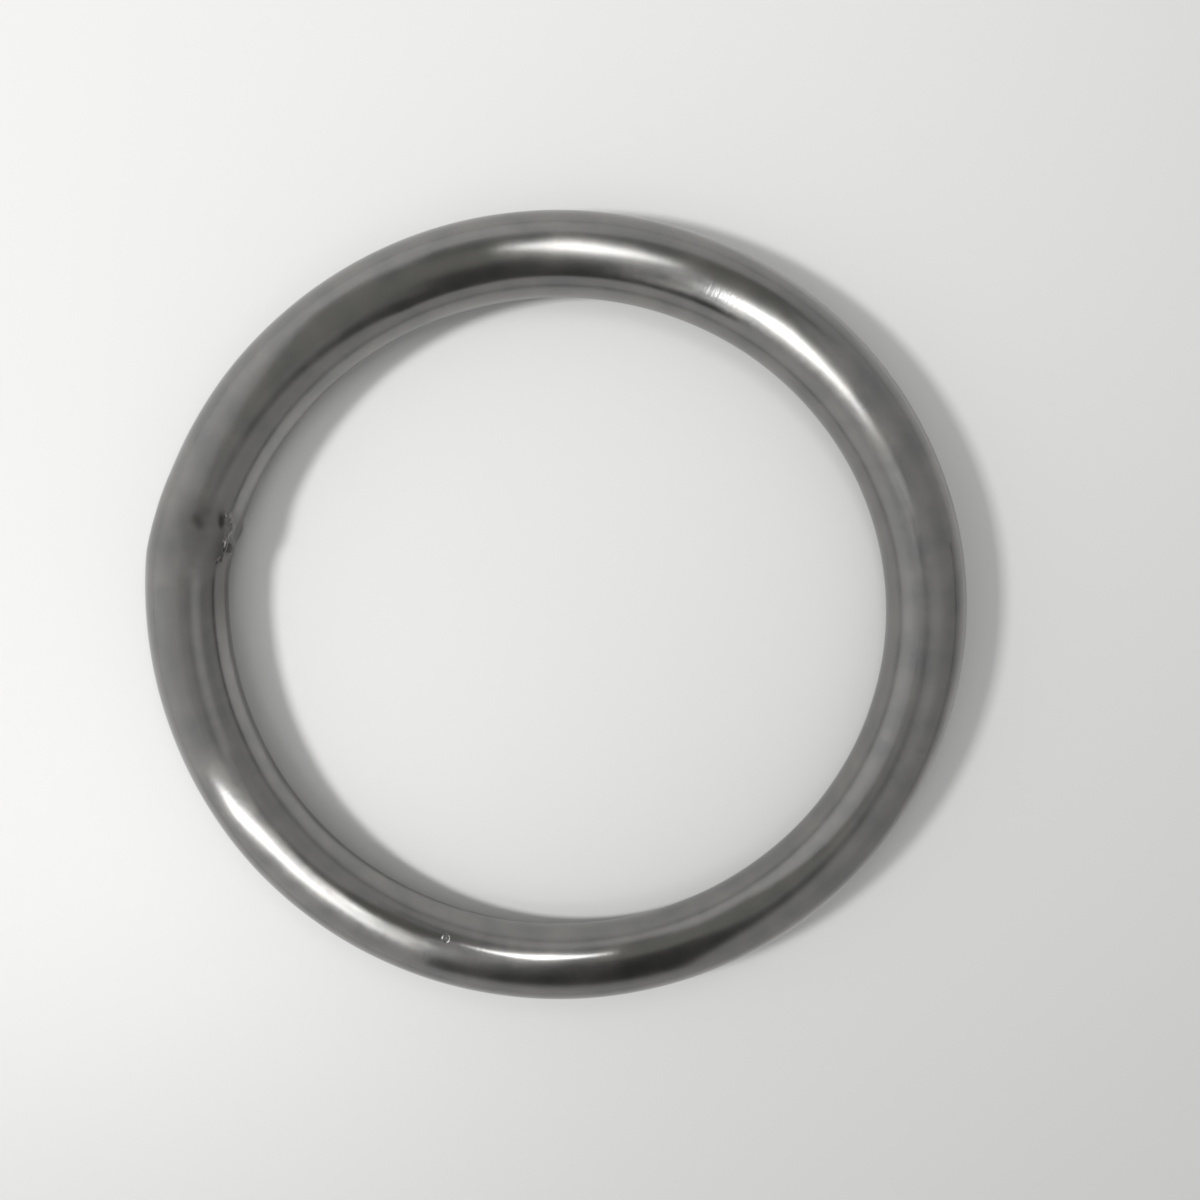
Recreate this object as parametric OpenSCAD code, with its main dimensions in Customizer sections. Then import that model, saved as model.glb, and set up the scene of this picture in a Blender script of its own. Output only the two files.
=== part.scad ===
// Welded ring of plain round bar, such as joins straps, ropes and hooks.
//
// The bar is bent to a circle and its two ends are butt welded. Near the weld
// both ends come in a little straighter than the rest of the bend, one more than
// the other, so the ring stands slightly out of round there and the weld has to
// bridge a small step. The weld is dressed nearly flush, except for some flash
// on the inside, where a wheel does not reach.
//
// Frame: Z is the ring's axis and Z = 0 is the surface it lies on. X and Y are
// in the plane of the ring, with the origin at its centre. Units are millimetres.

/* [Ring] */
// Diameter of the round bar
bar_d = 6; // [4:0.5:8]
// Diameter of the hole in the ring
inside_d = 50; // [36:1:80]

/* [Ends of the bar] */
// How much larger than the ring's own the first end's bend radius is
first_open = 2.5; // [0.2:0.1:4]
// How much larger than the ring's own the second end's bend radius is
second_open = 1; // [0.2:0.1:4]

/* [Weld] */
// Place of the weld round the ring, in degrees from +X towards +Y
weld_at = 162; // [0:1:359]
// Length of weld metal between the two ends
weld_gap = 6; // [3:0.5:9]
// How far the weld metal laps over each end
weld_lap = 0.6; // [0.3:0.1:1.5]
// How far the dressed weld stands proud of the bar
weld_proud = 0.06; // [0.04:0.01:0.2]

/* [Flash inside the weld] */
// Diameter of the largest lump of flash
flash_d = 3.2; // [2:0.2:4]
// How far the flash stands proud of the weld
flash_h = 0.3; // [0.1:0.05:0.6]

/* [Dent] */
// Place of the small dent, in degrees round the ring from the weld
dent_at = 87; // [70:1:280]
// Place of the dent round the bar, in degrees from the outside over the top
dent_round = 128; // [0:1:359]
// Width of the dent
dent_w = 0.7; // [0.3:0.1:1.5]
// Depth of the dent
dent_depth = 0.12; // [0.05:0.01:0.3]

/* [Hidden] */
$fn = 96;
bar_r = bar_d / 2;
ring_r = inside_d / 2 + bar_r;
// Height of the bar's axis: the weld is what touches the surface
axis_z = bar_r + weld_proud;
deg_per_mm = 180 / (PI * ring_r);
gap_half = weld_gap / 2 * deg_per_mm;
lap = weld_lap * deg_per_mm;

// The weld lies on +X while the ring is drawn. The main bend is three quarters of
// a turn, so each end starts an eighth of a turn from the weld. It leaves the
// ring's circle smoothly, on a larger circle that shares the radius at its start.
end_at = 45;
first_r = ring_r + first_open;
first_c = polar(-first_open, end_at);
first_tip = on_circle(first_c, first_r, gap_half);
first_stop = angle_of(first_tip - first_c);
second_r = ring_r + second_open;
second_c = polar(-second_open, -end_at);
second_tip = on_circle(second_c, second_r, -gap_half);
second_stop = angle_of(second_tip - second_c);

// The weld follows an arc of the ring's own radius through both tips.
chord = first_tip - second_tip;
weld_c = (first_tip + second_tip) / 2 + [-chord[1], chord[0]] * sqrt(pow(ring_r / norm(chord), 2) - 1 / 4);
weld_from = angle_of(second_tip - weld_c) - lap;
weld_to = angle_of(first_tip - weld_c) + lap;
weld_mid = (weld_from + weld_to) / 2;

// Lumps of flash: degrees round the bar, mm along it from the weld's middle, share of flash_d
flash_lumps = [
    [146, 0.5, 1],
    [129, -1.4, 0.7],
    [187, -0.3, 0.85],
];

// A sphere that meets the bar in a circle of the dent's width
dent_r = (pow(dent_w / 2, 2) + pow(dent_depth, 2)) / (2 * dent_depth);

function polar(r, a) = [r * cos(a), r * sin(a)];
function angle_of(v) = atan2(v[1], v[0]);

// Point of the circle (c, r) that lies at angle a seen from the origin
function on_circle(c, r, a) =
    let (u = polar(1, a), along = c * u)
    u * (along + sqrt(along * along + r * r - c * c));

// Bar of diameter d bent to radius r about Z, from +X through an angle
module bent(r, d, sweep) {
    rotate_extrude(angle = sweep)
        translate([r, 0])
            circle(d = d);
}

module main_bend() {
    bent(ring_r, bar_d, 360 - 2 * end_at);
}

module first_end() {
    translate([-first_open, 0, 0])
        bent(first_r, bar_d, first_stop - end_at);
}

module second_end() {
    rotate([0, 0, 360 - 2 * end_at])
        translate([-second_open, 0, 0])
            bent(second_r, bar_d, second_stop + end_at);
}

// Puts its children on a bar bent about c: at angle a round the bend, turned
// by t round the bar and lifted from the bar's axis
module on_bar(c, a, t, lift) {
    translate(c)
        rotate([0, 0, a])
            translate([ring_r, 0, 0])
                rotate([0, -t, 0])
                    translate([lift, 0, 0])
                        children();
}

module weld() {
    translate(weld_c)
        rotate([0, 0, weld_from])
            bent(ring_r, bar_d + 2 * weld_proud, weld_to - weld_from);
    for (lump = flash_lumps) {
        r = flash_d / 2 * lump[2];
        lift = bar_r + weld_proud + flash_h * lump[2] - r;
        on_bar(weld_c, weld_mid + lump[1] * deg_per_mm, lump[0], lift)
            sphere(r = r);
    }
}

module dent() {
    on_bar([0, 0], dent_at, dent_round, bar_r + dent_r - dent_depth)
        sphere(r = dent_r);
}

module ring() {
    color([0.56, 0.56, 0.54])
        translate([0, 0, axis_z])
            rotate([0, 0, weld_at])
                difference() {
                    union() {
                        rotate([0, 0, end_at]) {
                            main_bend();
                            first_end();
                            second_end();
                        }
                        weld();
                    }
                    dent();
                }
}

ring();
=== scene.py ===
# %% [markdown]
# # A welded steel ring
# Rings like this join straps, ropes and hooks. A length of round bar is bent to a circle, its two
# ends are butt welded, and the weld is dressed until the ring runs smooth. The CAD model already has
# the exact bar, so this lesson keeps its place and size and adds what the eye looks for: a bar that
# is not quite true, a weld with some flash left inside, one small dent, and worn, polished steel.

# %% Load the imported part
import math

import bpy
import numpy as np
from mathutils import Matrix, Vector


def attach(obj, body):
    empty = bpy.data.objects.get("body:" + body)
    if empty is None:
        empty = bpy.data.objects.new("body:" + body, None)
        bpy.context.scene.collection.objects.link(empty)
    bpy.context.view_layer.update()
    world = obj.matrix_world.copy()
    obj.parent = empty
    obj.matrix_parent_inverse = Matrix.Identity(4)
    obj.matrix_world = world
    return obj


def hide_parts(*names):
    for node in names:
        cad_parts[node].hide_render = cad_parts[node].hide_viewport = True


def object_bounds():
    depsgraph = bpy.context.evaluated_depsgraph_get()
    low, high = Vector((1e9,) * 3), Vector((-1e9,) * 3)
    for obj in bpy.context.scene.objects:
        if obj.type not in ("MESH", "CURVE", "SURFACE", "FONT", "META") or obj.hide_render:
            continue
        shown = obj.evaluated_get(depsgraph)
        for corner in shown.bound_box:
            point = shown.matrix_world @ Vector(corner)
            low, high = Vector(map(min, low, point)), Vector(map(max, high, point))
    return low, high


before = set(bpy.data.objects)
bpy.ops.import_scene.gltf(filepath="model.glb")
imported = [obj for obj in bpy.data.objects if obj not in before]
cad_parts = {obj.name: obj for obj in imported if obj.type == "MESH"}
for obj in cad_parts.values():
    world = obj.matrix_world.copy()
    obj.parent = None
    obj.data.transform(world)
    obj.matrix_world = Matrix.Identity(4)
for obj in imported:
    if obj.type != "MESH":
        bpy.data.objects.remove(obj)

scene = bpy.context.scene
scene.view_settings.view_transform = "Standard"
MM = 0.001
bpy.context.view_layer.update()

# %% [markdown]
# ## Camera
# The ring is seen from a little to one side of straight above, from less than two ring widths away,
# so the near side of the bar looks clearly thicker than the far side. That closeness is half of the
# picture: a longer lens from further off would frame the same ring, but flatten it. The place below
# was found by matching the outline of a plain round-bar ring to the edges that are seen.

# %% Place the camera
IMAGE_PX = 1200  # width of the square picture
FOCAL_PX = 1234.8  # focal length in the same pixels
SENSOR = 36.0
camera_at = Vector((0.516, 26.118, 94.019)) * MM
camera_to = Vector((2.898, 2.638, 3.06)) * MM

lens = bpy.data.cameras.new("camera")
lens.sensor_width = SENSOR
lens.lens = SENSOR * FOCAL_PX / IMAGE_PX
lens.clip_start = 1 * MM
forward = (camera_to - camera_at).normalized()
right = forward.cross(Vector((0, 1, 0))).normalized()
aimed = Matrix((right, right.cross(forward), -forward)).transposed().to_4x4()
camera = bpy.data.objects.new("camera", lens)
camera.matrix_world = Matrix.Translation(camera_at) @ aimed
scene.collection.objects.link(camera)
scene.camera = camera
print(f"lens {lens.lens:.1f} mm, {(camera_to - camera_at).length / MM:.0f} mm away")

# %% [markdown]
# ## The bar's own line
# A torus would be too perfect. Bending rolls cannot grip the last stretch of a bar, so near the weld
# both ends come in straighter than the rest, one more than the other, and the ring has a slight
# corner there. The line is kept as a distance from the ring's centre for each angle round it, with
# the weld at angle 0, and uses the same sizes as the CAD, in millimetres. Rounding the corners off a
# little is the last step, because molten metal leaves no sharp ones.

# %% Distance of the bar's middle from the ring's centre
BAR_R = 3.0
RING_R = 28.0
WELD_AT = 162.0  # degrees round the ring
WELD_PROUD = 0.06
AXIS_Z = BAR_R + WELD_PROUD  # the weld is what touches the floor
END_AT = 45.0  # degrees from the weld at which both ends begin to straighten
FIRST_OPEN, SECOND_OPEN = 2.5, 1.0  # how much larger the bend radius of each end is
WELD_HALF = 3.0 / RING_R  # half of the weld's length, as an angle in radians
FINE_DEG = 0.05


def polar(r, degrees):
    return r * np.array([math.cos(math.radians(degrees)), math.sin(math.radians(degrees))])


def reach(centre, radius, angle):
    """Distance from the ring's centre to a circle, seen at an angle in radians."""
    along = centre[0] * np.cos(angle) + centre[1] * np.sin(angle)
    return along + np.sqrt(along**2 + radius**2 - centre @ centre)


first = (polar(-FIRST_OPEN, END_AT), RING_R + FIRST_OPEN)
second = (polar(-SECOND_OPEN, -END_AT), RING_R + SECOND_OPEN)
tip = [reach(*circle, side * WELD_HALF) * np.array([math.cos(WELD_HALF), side * math.sin(WELD_HALF)])
       for circle, side in ((first, 1), (second, -1))]
chord = tip[0] - tip[1]
weld_centre = (tip[0] + tip[1]) / 2 + np.array([-chord[1], chord[0]]) * math.sqrt(
    (RING_R / np.linalg.norm(chord)) ** 2 - 0.25)

fine_angle = np.radians(np.arange(-180, 180, FINE_DEG))
line = np.full(fine_angle.size, RING_R)
for circle, low, high in ((first, WELD_HALF, math.radians(END_AT)),
                          (second, -math.radians(END_AT), -WELD_HALF),
                          ((weld_centre, RING_R), -WELD_HALF, WELD_HALF)):
    part = (fine_angle >= low) & (fine_angle <= high)
    line[part] = reach(*circle, fine_angle[part])

ROUNDED = 0.5  # mm over which a corner is rounded
BLUR_STEPS = 60
steps = np.arange(-BLUR_STEPS, BLUR_STEPS + 1)
blur = np.exp(-0.5 * (steps * math.radians(FINE_DEG) * RING_R / ROUNDED) ** 2)
blur /= blur.sum()
line = np.convolve(np.concatenate([line[-BLUR_STEPS:], line, line[:BLUR_STEPS]]), blur, mode="valid")
peak_at = math.degrees(fine_angle[line.argmax()])
print(f"out of round by {line.max() - RING_R:.2f} mm at {peak_at:.1f} deg from the weld")

# %% [markdown]
# ## Where the slices go
# The skin is a grid: slices along the bar, and points round each slice. An even grid fine enough for
# a dent of 0.7 mm would need millions of faces, so the grid is graded: slices crowd together at the
# weld and the dent and spread out between them, and points crowd on the inside of the bar.

# %% Graded slices and points
DENT_AT, DENT_ROUND = 87.0, 128.0  # degrees round the ring from the weld, and round the bar
SLICE_STEP, POINT_STEP = 1.3, 3.2  # degrees, where there is nothing to show
SAMPLES = 20001


def graded(low, high, coarse, zones):
    """Places from low to high, coarse apart, closer in zones of (centre, half width, fine step)."""
    grid = np.linspace(low, high, SAMPLES)
    per = np.full(grid.size, 1 / coarse)
    for centre, half, fine in zones:
        beyond = np.clip((np.abs(grid - centre) - half) / half, 0, 1)
        per = np.maximum(per, (1 / fine) ** (1 - beyond) * (1 / coarse) ** beyond)
    total = np.concatenate([[0], np.cumsum((per[1:] + per[:-1]) / 2 * np.diff(grid))])
    count = round(total[-1])
    return np.interp(np.arange(count) * total[-1] / count, total, grid)


weld_zone, dent_zone, inside_zone = (0.5, 8, 0.13), (DENT_AT, 1.2, 0.1), (145, 30, 1.2)
slices = np.radians(graded(-180, 180, SLICE_STEP, [weld_zone, dent_zone]))
points = np.radians(graded(-90, 270, POINT_STEP, [inside_zone]))
print(len(slices), "slices of", len(points), "points,", 2 * len(slices) * len(points), "triangles")

# %% [markdown]
# ## What stands up from the bar and what is pressed into it
# Everything that makes this ring itself is a height over the plain bar, in millimetres, at a place
# along it and a place round it: 0 degrees is outside, 90 on top and 180 inside. Heights simply add
# up, as filler and filing would. One helper makes a soft-edged lump, long or short and turned as
# needed; a negative height makes a hollow.

# %% Heights over the bar
ROLLED = 0.004
A, T = np.meshgrid(slices, points, indexing="ij")
along = A * RING_R
around = T * BAR_R
height = np.zeros(A.shape)


def lump(at, degrees, long, wide, turn=0.0, flat=2.0):
    """A soft lump of height 1: mm along from the weld, degrees round the bar, its length and width.

    It is turned by some degrees, and a larger flat makes its top flatter and its sides steeper.
    """
    x = along - at
    y = around - math.radians(degrees) * BAR_R
    c, s = math.cos(math.radians(turn)), math.sin(math.radians(turn))
    d = ((c * x + s * y) / (long / 2)) ** 2 + ((c * y - s * x) / (wide / 2)) ** 2
    return np.exp(-(d ** (flat / 2)))


def ripple(seed, count, along_mm, around_mm):
    """Smooth seeded unevenness of about height 1, no finer than the two lengths given."""
    draw = np.random.default_rng(seed)
    total = np.zeros(A.shape)
    for _ in range(count):
        n = draw.integers(1, max(2, int(2 * math.pi * RING_R / along_mm)))
        m = draw.integers(-1, 2) * draw.integers(0, max(1, int(2 * math.pi * BAR_R / around_mm)) + 1)
        total += np.cos(n * A + m * T + draw.uniform(0, 2 * math.pi))
    return total / math.sqrt(count / 2)


def fade(distance, edge, soft):
    """1 nearer than the edge and 0 beyond it, with a soft change between."""
    return 1 / (1 + np.exp((distance - edge) / soft))


height += ROLLED * ripple(seed=1, count=24, along_mm=7.0, around_mm=6.0)
print(f"rolling leaves the bar uneven by {np.ptp(height):.3f} mm")

# %% [markdown]
# ## The weld
# The weld metal was ground back nearly flush, so it shows as a faint raised band that ends in a soft
# step. A grinding wheel does not fit inside the ring: there the flash that was squeezed out of the
# joint stays, torn into a ridge, a few crumbs and small dark holes. The band is a wide flat lump that
# goes all the way round; the flash is a short list of lumps and hollows.

# %% Dressed band and flash
BAND_AT, BAND_HALF, BAND_SOFT = 0.3, 2.8, 0.4  # mm along the bar
GROUND, TORN = 0.004, 0.006  # mm of grinding marks, and of torn skin on the flash
band = fade(np.abs(along - BAND_AT), BAND_HALF, BAND_SOFT)
height += WELD_PROUD * band * (0.7 - 0.3 * np.sin(T))  # 0.4 of it is left on top, all of it below
height += GROUND * band * (ripple(seed=2, count=40, along_mm=1.6, around_mm=2.2) - 1)

flash = [  # mm along, degrees round, length, width, turn, height
    (0.1, 155, 3.4, 1.7, -4, 0.09),  # low mound under the rest
    (-1.95, 138, 0.42, 0.34, 20, 0.13),  # two crumbs
    (-1.62, 144, 0.34, 0.26, -30, 0.11),
    (-0.90, 150, 0.85, 0.80, -10, 0.17),  # broad facet
    (0.40, 149, 1.70, 0.32, 10, 0.22),  # long sliver
    (0.95, 168, 1.30, 0.42, 8, 0.17),  # ridge below it
    (0.80, 157, 0.90, 0.34, 9, -0.18),  # hole between sliver and ridge
    (-1.45, 132, 1.40, 0.50, 20, -0.05),  # groove beside the crumbs
    (1.80, 148, 0.36, 0.28, 30, -0.05),  # two pits
    (1.98, 143, 0.26, 0.22, 0, -0.04),
    (-0.30, 190, 1.60, 1.10, 10, 0.17),  # lump that faces the middle of the ring
]
LUMP_FLAT, SCAR_FLAT = 2.2, 3.0
SCAR_LONG, SCAR_WIDE = 1.1, 1.2  # torn skin reaches a little beyond each lump
scar = np.zeros(A.shape)
for at, degrees, long, wide, turn, high in flash:
    height += high * lump(at, degrees, long, wide, turn, LUMP_FLAT)
    scar = np.maximum(scar, lump(at, degrees, long * SCAR_LONG, wide * SCAR_WIDE, turn, SCAR_FLAT))
height += TORN * scar * ripple(seed=3, count=60, along_mm=0.5, around_mm=0.6)
print(f"flash stands up to {height.max():.2f} mm proud, {len(flash)} lumps and hollows")

# %% [markdown]
# ## The dent
# One knock has left a tiny crater. Steel that is pushed down has to go somewhere, so a curl of metal
# stands up round three sides of it. It is a hollow plus a ring-shaped ridge that fades on one side,
# and a crumb at its edge.

# %% Dent with its raised curl
DENT_DEEP, DENT_R = 0.085, 0.2
CURL_HIGH, CURL_R, CURL_W = 0.032, 0.27, 0.075
CURL_TO, CURL_FADE = 111.0, 0.6  # degrees where it is highest, and how fast it fades from there
CRUMB_HIGH, CRUMB_AT, CRUMB_R = 0.015, -0.2, 0.09
x = along - math.radians(DENT_AT) * RING_R
y = around - math.radians(DENT_ROUND) * BAR_R
away = np.hypot(x, y)
facing = 0.5 + 0.5 * np.cos(np.arctan2(y, x) - math.radians(CURL_TO))
dent = -DENT_DEEP * np.exp(-((away / DENT_R) ** 2))
dent += CURL_HIGH * facing**CURL_FADE * np.exp(-(((away - CURL_R) / CURL_W) ** 2))
dent += CRUMB_HIGH * np.exp(-((np.hypot(x, y - CRUMB_AT) / CRUMB_R) ** 2))
height += dent
print(f"dent {-dent.min():.2f} mm deep, curl {dent.max():.2f} mm high")

# %% [markdown]
# ## The skin
# Each slice stands square to the bar's own line, so the direction of that line is needed too. The
# grid closes on itself both ways, which leaves no seam and no open edge. A second pair of numbers,
# along and round the bar from 0 to 1, goes on as a UV map, so that the finish can follow the bar.

# %% Build the ring's skin
r = np.interp(slices, fine_angle, line, period=2 * math.pi)
slope = np.interp(slices, fine_angle, np.gradient(line, fine_angle), period=2 * math.pi)
turned = slices + math.radians(WELD_AT)
radial = np.stack([np.cos(turned), np.sin(turned)], 1)
sideways = np.stack([-np.sin(turned), np.cos(turned)], 1)
outward = r[:, None] * radial - slope[:, None] * sideways
outward /= np.linalg.norm(outward, axis=1)[:, None]

reach_out = (BAR_R + height) * np.cos(T)
skin = np.empty(A.shape + (3,))
skin[..., :2] = (r[:, None] * radial)[:, None, :] + reach_out[..., None] * outward[:, None, :]
skin[..., 2] = AXIS_Z + (BAR_R + height) * np.sin(T)
skin[..., 2] = np.maximum(skin[..., 2], 0.0)  # nothing sinks into the floor

n, m = A.shape
i, j = np.meshgrid(np.arange(n), np.arange(m), indexing="ij")


def corner(di, dj):
    """The vertex number of one corner of every face."""
    return (((i + di) % n) * m + (j + dj) % m).ravel()


faces = np.stack([corner(0, 0), corner(1, 0), corner(1, 1), corner(0, 1)], 1)
mesh = bpy.data.meshes.new("welded_ring")
mesh.from_pydata((skin.reshape(-1, 3) * MM).tolist(), [], faces.tolist())
mesh.shade_smooth()
ring = bpy.data.objects.new("welded_ring", mesh)
scene.collection.objects.link(ring)
closed = len(mesh.edges) == 2 * len(mesh.polygons)
print(len(mesh.polygons), "faces,", "closed" if closed else "open")

# %% UV map along and round the bar
share_along = np.append((slices + math.pi) / (2 * math.pi), 1.0)
share_around = np.append((points + math.pi / 2) / (2 * math.pi), 1.0)
u = np.stack([share_along[i], share_along[i + 1], share_along[i + 1], share_along[i]], -1)
v = np.stack([share_around[j], share_around[j], share_around[j + 1], share_around[j + 1]], -1)
layer = mesh.uv_layers.new(name="along_around")
layer.uv.foreach_set("vector", np.stack([u, v], -1).astype(np.float32).ravel())
print("UV map", layer.name, "on", len(layer.uv), "corners")

# %% Put the ring in the frame
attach(ring, "root")
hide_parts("ring")
lowest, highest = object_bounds()
print(f"lowest point {lowest.z / MM:.3f} mm, highest {highest.z / MM:.3f} mm")

# %% [markdown]
# ## Where the finish changes
# Heat tint, painted shade and wear are not even, so every point of the skin gets a number from 0 to 1
# for each, and the material reads them by name. Welding heat leaves a faint band and a patchy cloud
# with a small dark heart on top; a broad brown darkening also lies low on the inside, beside the
# flash. Painted shade darkens the torn flash the lower it lies, most in its holes. Use has rubbed the
# top of the bar dull, and the inside was never polished well: only next to the weld, where the wheel
# that dressed it also reached the inside, is that bright.

# %% Heat tint, painted shade and wear
BAND_HEAT, CLOUD_HEAT, HEART_HEAT, INSIDE_DARKENING = 0.1, 0.3, 0.45, 0.7
patchy = np.clip(0.75 + 0.35 * ripple(seed=4, count=30, along_mm=1.2, around_mm=1.2), 0, 1.2)
brown_tint_share = BAND_HEAT * band + CLOUD_HEAT * lump(-1.0, 102, 2.8, 2.8, 10) * patchy
# the last lump lies low on the inside beside the flash and makes the bar browner and darker there
brown_tint_share += HEART_HEAT * lump(-1.0, 101, 1.6, 0.8, 12) + INSIDE_DARKENING * lump(4.6, 168, 7.5, 3.6)
brown_tint_share = np.clip(brown_tint_share, 0, 1)

# painted shade: the torn flash is made darker the lower it lies, most in its holes
HOLLOW_SHADE_AT_WELD, HOLLOW_SHADE_PER_MM, HOLLOW_SHADE_UP_TO = 0.5, 4.0, 0.1
low_down = HOLLOW_SHADE_AT_WELD - HOLLOW_SHADE_PER_MM * np.minimum(height - WELD_PROUD, HOLLOW_SHADE_UP_TO)
painted_hollow_shade = np.clip(scar * low_down, 0, 1)

TOP, TOP_HALF, TOP_SOFT = math.pi / 2, math.radians(27), math.radians(3)
INSIDE, INSIDE_HALF, INSIDE_SOFT = math.radians(182), math.radians(51), math.radians(4)
POLISHED_AT, POLISHED_HALF, POLISHED_SOFT = 5.6, 14.0, 2.8  # mm along the bar
INSIDE_DULL = 0.8
inside = fade(np.abs(T - INSIDE), INSIDE_HALF, INSIDE_SOFT)
near_weld = fade(np.abs(along - POLISHED_AT), POLISHED_HALF, POLISHED_SOFT)
rubbed = fade(np.abs(T - TOP), TOP_HALF, TOP_SOFT)
rubbed = np.maximum(rubbed, INSIDE_DULL * inside * (1 - near_weld))

masks = {"brown_tint": brown_tint_share, "weld": band, "hollow": painted_hollow_shade, "rubbed": rubbed}
for name, values in masks.items():
    layer = mesh.attributes.new(name, "FLOAT", "POINT")
    layer.data.foreach_set("value", values.astype(np.float32).ravel())
    print(f"{name}: up to {values.max():.2f}, over 0.3 on {(values > 0.3).mean():.1%} of the points")

# %% [markdown]
# ## Drawn and polished steel
# The bar is plain steel that was drawn through a die and polished along its length, then dulled by
# handling. Bare metal has no colour of its own beyond what it mirrors, so its base colour only says
# how much of the light comes back: here a good deal less than from clean chrome. The fine lines of
# drawing run along the bar and spread every reflection across it, but hardly along it. That is what
# breaks a long lamp into short fat streaks, and an anisotropic shader does just this. The top of the
# bar is rubbed duller by use, its sides keep more of the polish. Wear leaves soft clouds that are a
# touch more satin, and by the weld, heat has left a brown bloom. Low on the inside, beside the flash,
# the colour is also browner and darker, and painted shade darkens the hollows of the flash.

# %% Colours and nodes
# the last colour, nearly black, is painted shade for the hollows of the flash
COOL_STEEL, WARM_STEEL, TINT_BROWN, HOLLOW_SHADE = "#6e7273", "#9a9692", "#534f4c", "#2b2725"


def linear(code):
    """An sRGB hex colour as the linear RGBA that a shader works with."""
    parts = [int(code[k:k + 2], 16) / 255 for k in (1, 3, 5)]
    return [x / 12.92 if x <= 0.04045 else ((x + 0.055) / 1.055) ** 2.4 for x in parts] + [1.0]


def add(tree, kind, links=(), **settings):
    """Adds a node: settings are its properties, links are (input, value or another node's output)."""
    node = tree.nodes.new(kind)
    for name, value in settings.items():
        setattr(node, name, value)
    for name, value in links:
        if isinstance(value, bpy.types.NodeSocket):
            tree.links.new(value, node.inputs[name])
        else:
            node.inputs[name].default_value = value
    return node


def mix(tree, share, first_colour, second_colour):
    """A blend of two colours; inputs 0, 6 and 7 of the node are the share and the colours."""
    links = [(0, share), (6, first_colour), (7, second_colour)]
    return add(tree, "ShaderNodeMix", links, data_type="RGBA").outputs[2]


def mask(tree, name):
    """The number from 0 to 1 that the skin carries under a name."""
    return add(tree, "ShaderNodeAttribute", attribute_name=name).outputs["Fac"]


def new_material(name):
    material = bpy.data.materials.new(name)
    material.use_nodes = True
    material.node_tree.nodes.clear()
    return material, material.node_tree


for code in (COOL_STEEL, WARM_STEEL, TINT_BROWN, HOLLOW_SHADE):
    print(code, "sends back", [round(x, 3) for x in linear(code)[:3]])

# %% Steel
BAR_LONG = 2 * math.pi * RING_R
BAR_ROUND = 2 * math.pi * BAR_R
# polishing left faint ripples across the bar: really about 0.05 mm apart, drawn at 0.2 mm to show at all
HAIR_ALONG, HAIR_AROUND, HAIR_DEEP = 0.2, 2.5, 0.0015
CLOUD_SIZE = 3.0  # mm across a worn cloud
POLISHED, SATIN = 0.085, 0.115  # roughness between and in the clouds
RUBBED_MORE, GROUND_MORE = 0.085, 0.06  # added where the bar is rubbed, and on the weld

steel, tree = new_material("steel_drawn_polished")
place = add(tree, "ShaderNodeUVMap", uv_map="along_around")
in_mm = add(tree, "ShaderNodeMapping", [
    ("Vector", place.outputs[0]), ("Scale", (BAR_LONG, BAR_ROUND, 1))])
hair_at = add(tree, "ShaderNodeMapping", [
    ("Vector", in_mm.outputs[0]), ("Scale", (1 / HAIR_ALONG, 1 / HAIR_AROUND, 1))])
hair = add(tree, "ShaderNodeTexNoise", [
    ("Vector", hair_at.outputs[0]), ("Scale", 1.0), ("Detail", 3.0)])
wear = add(tree, "ShaderNodeTexNoise", [
    ("Vector", in_mm.outputs[0]), ("Scale", 1 / CLOUD_SIZE), ("Detail", 4.0)])

cloud = mix(tree, wear.outputs[0], linear(COOL_STEEL), linear(WARM_STEEL))
# brown: heat tint by the weld, and a broad darker patch low on the inside beside the flash
tint = mix(tree, mask(tree, "brown_tint"), cloud, linear(TINT_BROWN))
# painted shade in the hollows of the torn flash
with_hollow_shade = mix(tree, mask(tree, "hollow"), tint, linear(HOLLOW_SHADE))
satin = add(tree, "ShaderNodeMapRange", [
    ("Value", wear.outputs[0]), ("From Min", 0.3), ("From Max", 0.7),
    ("To Min", POLISHED), ("To Max", SATIN)])
dulled = add(tree, "ShaderNodeMath", [
    (0, mask(tree, "rubbed")), (1, RUBBED_MORE), (2, satin.outputs[0])], operation="MULTIPLY_ADD")
ground = add(tree, "ShaderNodeMath", [
    (0, mask(tree, "weld")), (1, GROUND_MORE), (2, dulled.outputs[0])], operation="MULTIPLY_ADD")
relief = add(tree, "ShaderNodeBump", [
    ("Height", hair.outputs[0]), ("Strength", 1.0), ("Distance", HAIR_DEEP * MM)])
lengthwise = add(tree, "ShaderNodeTangent", direction_type="UV_MAP", uv_map="along_around")
# the quarter turn makes reflections spread across the bar, square to the drawing lines
shade = add(tree, "ShaderNodeBsdfPrincipled", [
    ("Base Color", with_hollow_shade), ("Metallic", 1.0), ("Roughness", ground.outputs[0]),
    ("Normal", relief.outputs[0]), ("Tangent", lengthwise.outputs[0]),
    ("Anisotropic", 1.0), ("Anisotropic Rotation", 0.25)])
add(tree, "ShaderNodeOutputMaterial", [("Surface", shade.outputs[0])])
mesh.materials.append(steel)
print(steel.name, len(tree.nodes), "nodes")

# %% [markdown]
# ## Floor
# The ring lies on a matte, nearly white sheet. It matters twice: it carries the shadow, and the lower
# half of the bar mirrors it. A flat plane with a plain rough surface is all that needs.

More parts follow.
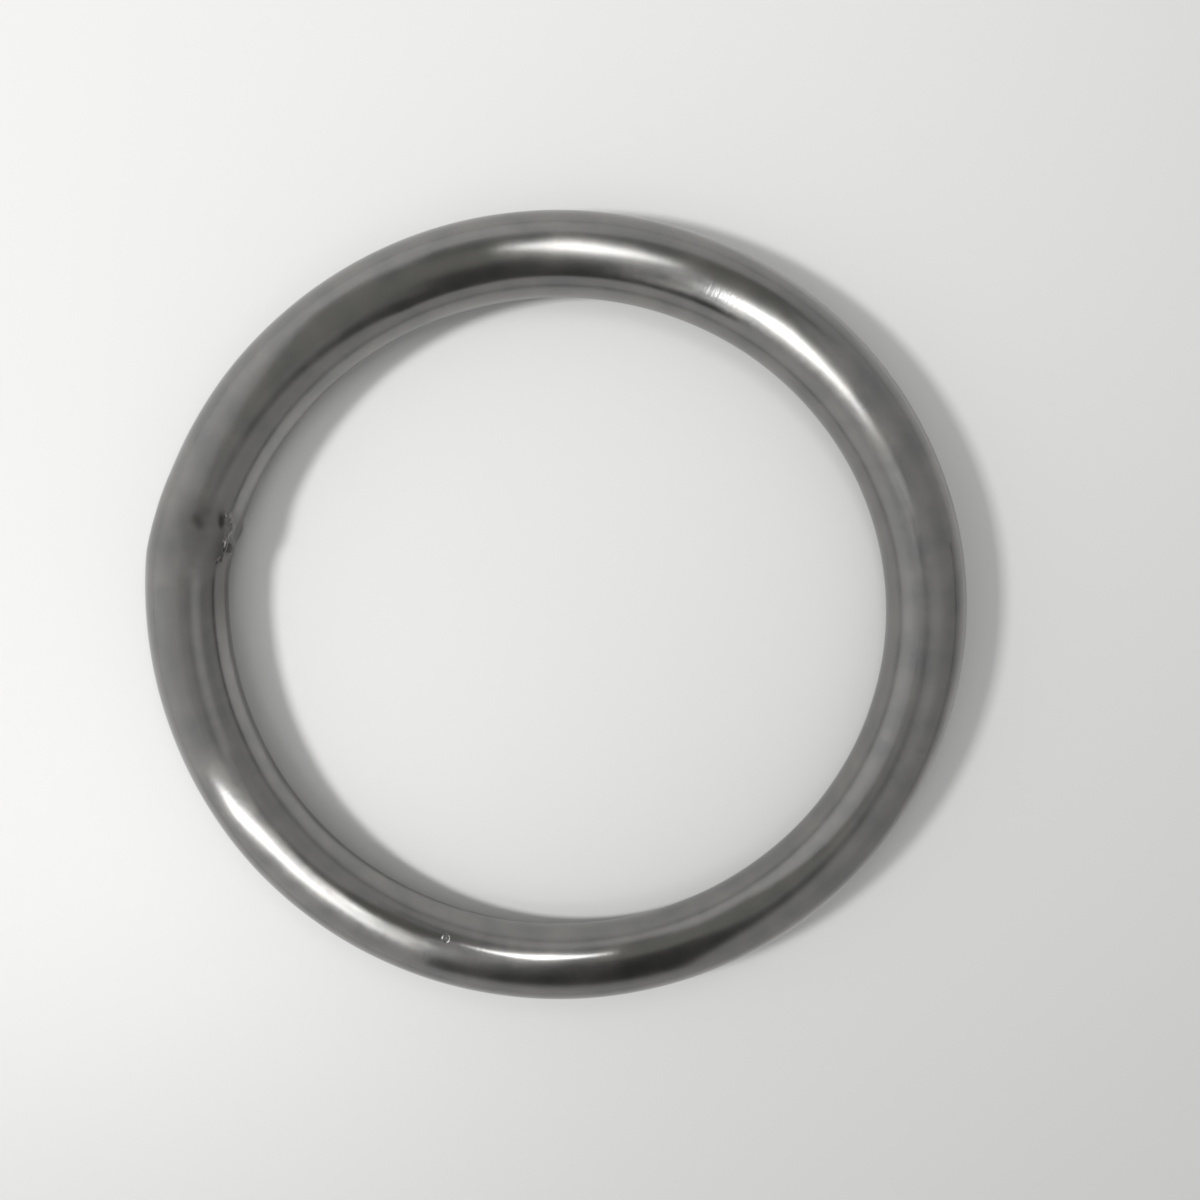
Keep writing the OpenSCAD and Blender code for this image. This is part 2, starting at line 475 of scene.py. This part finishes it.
# %% Pale floor
FLOOR = 0.6  # half its width, in metres
PAPER, PAPER_ROUGH = "#c8c8c7", 0.95
corners = [(x * FLOOR, y * FLOOR, 0) for x, y in ((-1, -1), (1, -1), (1, 1), (-1, 1))]
floor_mesh = bpy.data.meshes.new("floor")
floor_mesh.from_pydata(corners, [], [(0, 1, 2, 3)])
floor = bpy.data.objects.new("floor", floor_mesh)
scene.collection.objects.link(floor)
paper, tree = new_material("matte_paper")
shade = add(tree, "ShaderNodeBsdfPrincipled", [
    ("Base Color", linear(PAPER)), ("Roughness", PAPER_ROUGH)])
add(tree, "ShaderNodeOutputMaterial", [("Surface", shade.outputs[0])])
floor_mesh.materials.append(paper)
print("floor", 2 * FLOOR, "m square")

# %% [markdown]
# ## Light
# Polished metal is lit by what it mirrors. A soft grey room, lighter on the left, gives the body of
# the bar its tone; its low walls are whiter. One lamp on the left draws the shadow. Narrow lamps close
# overhead make the bright streaks. On a ring one lamp shows twice, on both sides, so most of these
# carry a grid that lets only one side see them. A wide, faint one lifts the side next to the weld.
# Dark cards overhead give the deep bands beside the streaks, and a low one on the right a thin line,
# as in any picture of metal.

# %% Room
ROOM_LEVEL = 0.673
ROOM_LEAN = (-0.229, 0.09, 0.0)  # lighter towards -X and a little towards +Y
WALL_LEAN, WALL_FROM, WALL_TO = 0.16, 0.44, 0.50  # the walls end lower on the right
WALL_WHITER = 1.12
room = bpy.data.worlds.new("room")
scene.world = room
room.use_nodes = True
tree = room.node_tree
tree.nodes.clear()
where = add(tree, "ShaderNodeTexCoord")
across = add(tree, "ShaderNodeVectorMath", [
    (0, where.outputs["Generated"]), (1, ROOM_LEAN)], operation="DOT_PRODUCT")
walls = add(tree, "ShaderNodeMath", [(0, across.outputs["Value"]), (1, ROOM_LEVEL)], operation="ADD")
up = add(tree, "ShaderNodeSeparateXYZ", [(0, where.outputs["Generated"])])
rise = add(tree, "ShaderNodeMath", [
    (0, up.outputs["X"]), (1, WALL_LEAN), (2, up.outputs["Z"])], operation="MULTIPLY_ADD")
low = add(tree, "ShaderNodeMapRange", [
    ("Value", rise.outputs[0]), ("From Min", WALL_FROM), ("From Max", WALL_TO),
    ("To Min", WALL_WHITER), ("To Max", 1.0)])
whiter = add(tree, "ShaderNodeMath", [
    (0, walls.outputs[0]), (1, low.outputs[0])], operation="MULTIPLY")
glow = add(tree, "ShaderNodeBackground", [
    ("Color", linear("#ffffff")), ("Strength", whiter.outputs[0])])
add(tree, "ShaderNodeOutputWorld", [("Surface", glow.outputs[0])])
print("room of level", ROOM_LEVEL, "with", len(tree.nodes), "nodes")

# %% Lamps
def lamp(name, at, size, radiance, turn=0.0, aim=None, beam=180.0):
    """A rectangular lamp, mm and degrees; radiance is how bright its face looks, white paper at 1.

    A lamp with an aim faces it, one without faces down. A beam under 180 is a lamp with a grid,
    dark to whoever stands outside the beam.
    """
    data = bpy.data.lights.new(name, "AREA")
    data.shape = "RECTANGLE"
    data.size, data.size_y = size[0] * MM, size[1] * MM
    data.spread = math.radians(beam)
    half = data.spread / 2
    share = 1 - half / math.tan(half) if beam < 180 else 1
    data.energy = 4 * data.size * data.size_y * radiance * share
    back = Vector((0, 0, 1)) if aim is None else (Vector(at) - Vector(aim)).normalized()
    along_lamp = Vector((*polar(1, turn), 0))
    along_lamp = (along_lamp - along_lamp.dot(back) * back).normalized()
    facing_to = Matrix((along_lamp, back.cross(along_lamp), back)).transposed().to_4x4()
    thing = bpy.data.objects.new(name, data)
    thing.matrix_world = Matrix.Translation(Vector(at) * MM) @ facing_to
    thing.visible_camera = False
    scene.collection.objects.link(thing)
    return thing


KEY_AWAY, KEY_FROM, KEY_UP = 240.0, 169.0, 51.0  # mm from the ring, degrees round and up
KEY_SIZE, KEY_RADIANCE = 32, 104.0
key_flat = KEY_AWAY * math.cos(math.radians(KEY_UP))
key_at = (*polar(key_flat, KEY_FROM), KEY_AWAY * math.sin(math.radians(KEY_UP)))
key = lamp("window_left", key_at, (KEY_SIZE, KEY_SIZE), KEY_RADIANCE, aim=(0, 0, 0))
key.visible_glossy = False  # it draws the shadow, the lamps below draw the streaks
streak_lamps = [  # name, centre, size, radiance, turn, aim, beam
    ("lamp_far", (5.2, 62.2, 108), (40.9, 26.7), 5.6, 126, None, 180),
    ("lamp_left", (-29.0, -48.2, 108), (47.5, 6.5), 13.0, 25, (-28, -23, 6), 46),
    ("lamp_left_end", (-73.0, -69.0, 108), (42.0, 8.5), 14.0, 25, (-35.5, -17.5, 6), 29),
    ("lamp_left_near", (8.0, -16.7, 108), (13.7, 4.1), 12.0, 56, (-15, -23.5, 6), 62),
    ("lamp_right_near", (-8.0, -52.0, 108), (6.0, 4.0), 10.0, 0, (8, 27, 6), 50),
    ("lamp_right", (18.6, -2.6, 108), (40.0, 9.5), 15.0, 67.5, (12, 28, 6), 38),
    ("lamp_right_faint", (44.0, -34.0, 108), (64.0, 36.0), 0.24, 0, (-28, -2, 6), 46),
]
LIGHT_FLOOR = ("lamp_far", "lamp_left", "lamp_left_end")  # the others light the metal alone
for one in streak_lamps:
    lamp(*one).visible_diffuse = one[0] in LIGHT_FLOOR
print(len(streak_lamps) + 1, "lamps")

# %% Dark cards
def card(name, at, turn, long, near_wide, far_wide, up, code, shades=True):
    """A level card of matte felt, which the metal mirrors as one even shape.

    In mm: its middle, the direction of its length, its width at both ends, its height; then its
    sRGB colour. A card that does not shade is there for the metal alone and leaves the floor lit.
    """
    ends = [(-long / 2, -near_wide / 2), (long / 2, -far_wide / 2),
            (long / 2, far_wide / 2), (-long / 2, near_wide / 2)]
    c, s = math.cos(math.radians(turn)), math.sin(math.radians(turn))
    turned_ends = [((at[0] + c * x - s * y) * MM, (at[1] + s * x + c * y) * MM, up * MM) for x, y in ends]
    card_mesh = bpy.data.meshes.new(name)
    card_mesh.from_pydata(turned_ends, [], [(0, 1, 2, 3)])
    thing = bpy.data.objects.new(name, card_mesh)
    scene.collection.objects.link(thing)
    thing.visible_camera = thing.visible_transmission = False
    thing.visible_diffuse = thing.visible_shadow = shades
    felt, tree = new_material(name + "_felt")
    shade = add(tree, "ShaderNodeBsdfPrincipled", [("Base Color", linear(code)), ("Roughness", 1.0)])
    add(tree, "ShaderNodeOutputMaterial", [("Surface", shade.outputs[0])])
    card_mesh.materials.append(felt)
    return thing


cards = [  # name, middle, direction, length, width at the near and far end, height, colour, shades
    ("card_far", (-7.6, 92.7), 30, 181, 214, 9, 111.0, "#c8c8c4", False),
    ("card_far_right", (49.0, 47.0), 71.5, 132, 24, 45, 112.0, "#a8a8a4", False),
    ("card_low_far", (20.0, 83.0), 0, 120, 45, 45, 59.0, "#9c9c98", False),
    ("card_right", (56.0, -15.0), 90, 44, 8, 8, 11.0, "#1c1c1a", False),
    ("card_near", (1.7, -88.4), 266, 137, 10, 89, 110.0, "#4c4c48", True),
    ("card_middle", (-3.6, -9.1), 100, 39, 7, 21, 109.0, "#4a4a47", True),
]
for one in cards:
    card(*one)
print(len(cards), "cards")
